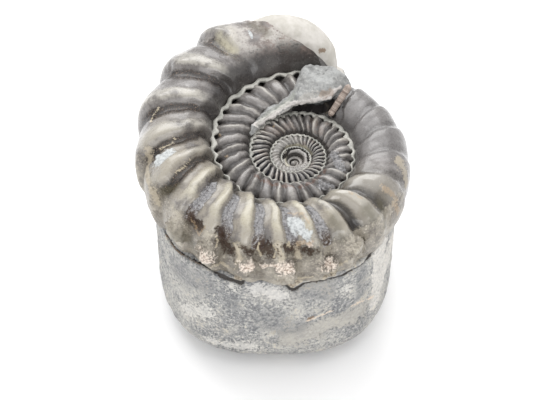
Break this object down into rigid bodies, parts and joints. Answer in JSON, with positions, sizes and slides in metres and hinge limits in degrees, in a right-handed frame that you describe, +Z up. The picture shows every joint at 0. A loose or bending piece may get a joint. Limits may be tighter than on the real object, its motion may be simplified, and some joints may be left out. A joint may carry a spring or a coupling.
{
  "type": "ammonite fossil on a stone",
  "caption": "Coiled, ribbed ammonite shell lying on the tall grey pebble it was found in, with a ridge of leftover rock and a small shell splinter across its whorls.",
  "frame": {"origin": "centre of the bounding box in plan, at the level of the stone's flat base", "axes": "+Z up, +X right and -Y the side that the shell leans towards"},
  "size_m": [0.043, 0.049, 0.0399],
  "materials": {
    "shell": "polished grey-brown calcite shell, paler on the ribs, near black in the furrows",
    "stone": "dull blue-grey limestone with white and yellow-brown specks",
    "rock": "dull pale grey rock",
    "splinter": "light brown, slightly glossy shell"
  },
  "bodies": {
    "root": {"ammonite": "shell", "stone": "stone", "matrix_remnant": "rock", "shell_splinter": "splinter"}
  },
  "joints": []
}
